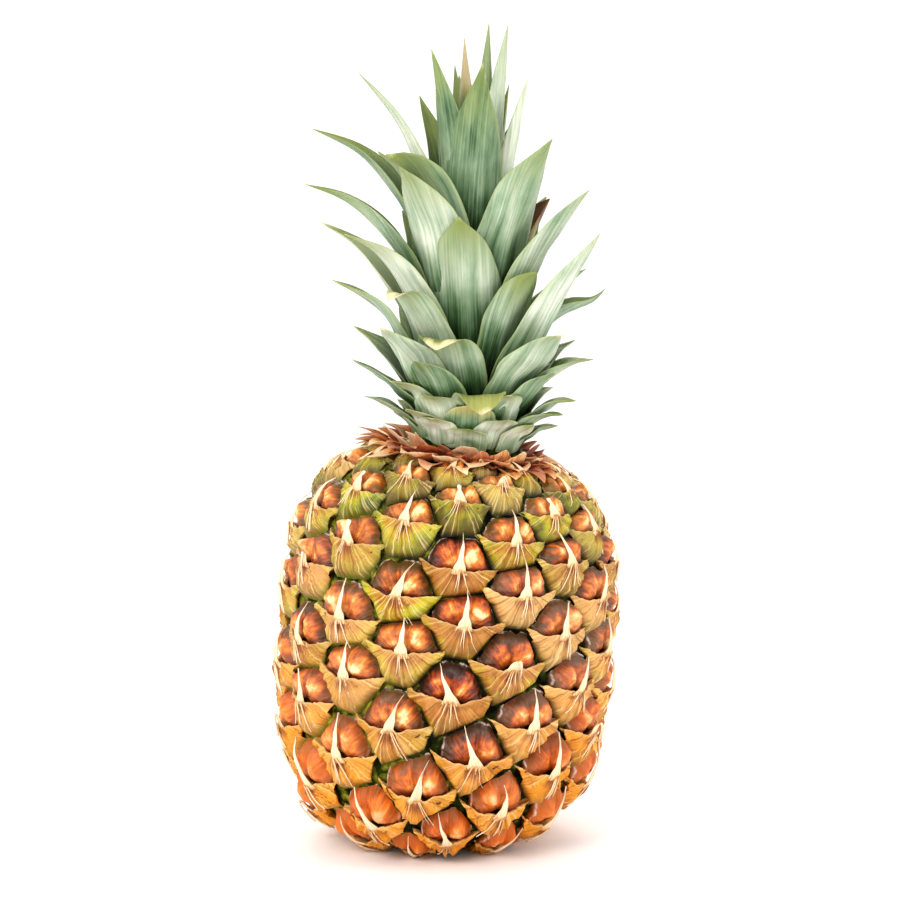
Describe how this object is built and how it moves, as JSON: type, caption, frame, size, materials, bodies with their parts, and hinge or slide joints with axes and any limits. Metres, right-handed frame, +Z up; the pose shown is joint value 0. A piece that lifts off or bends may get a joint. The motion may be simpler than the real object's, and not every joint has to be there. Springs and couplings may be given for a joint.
{
  "type": "pineapple",
  "caption": "Whole fresh pineapple standing on its base: spiralled eyes with dry pointed bracts, a papery collar and a crown of stiff pointed leaves.",
  "frame": {"origin": "middle of the foot of the whole part's box, on the plane that the fruit stands on", "axes": "+Z up from the base to the crown; -Y towards the side that the picture shows; +X to the right of that view, where the fruit's shoulders lean"},
  "size_m": [0.1294, 0.128, 0.2991],
  "materials": {
    "fruit_rind": "waxy rind of red-brown and orange eyes with tan bracts and green seams",
    "stalk_fibre": "dry cut fibres",
    "dry_bract": "dry and papery",
    "crown_leaf": "stiff leaf with a pale waxy bloom"
  },
  "bodies": {
    "root": {"fruit": "fruit_rind", "stalk_end": "stalk_fibre", "collar_bracts": "dry_bract", "crown": "crown_leaf"}
  },
  "joints": []
}
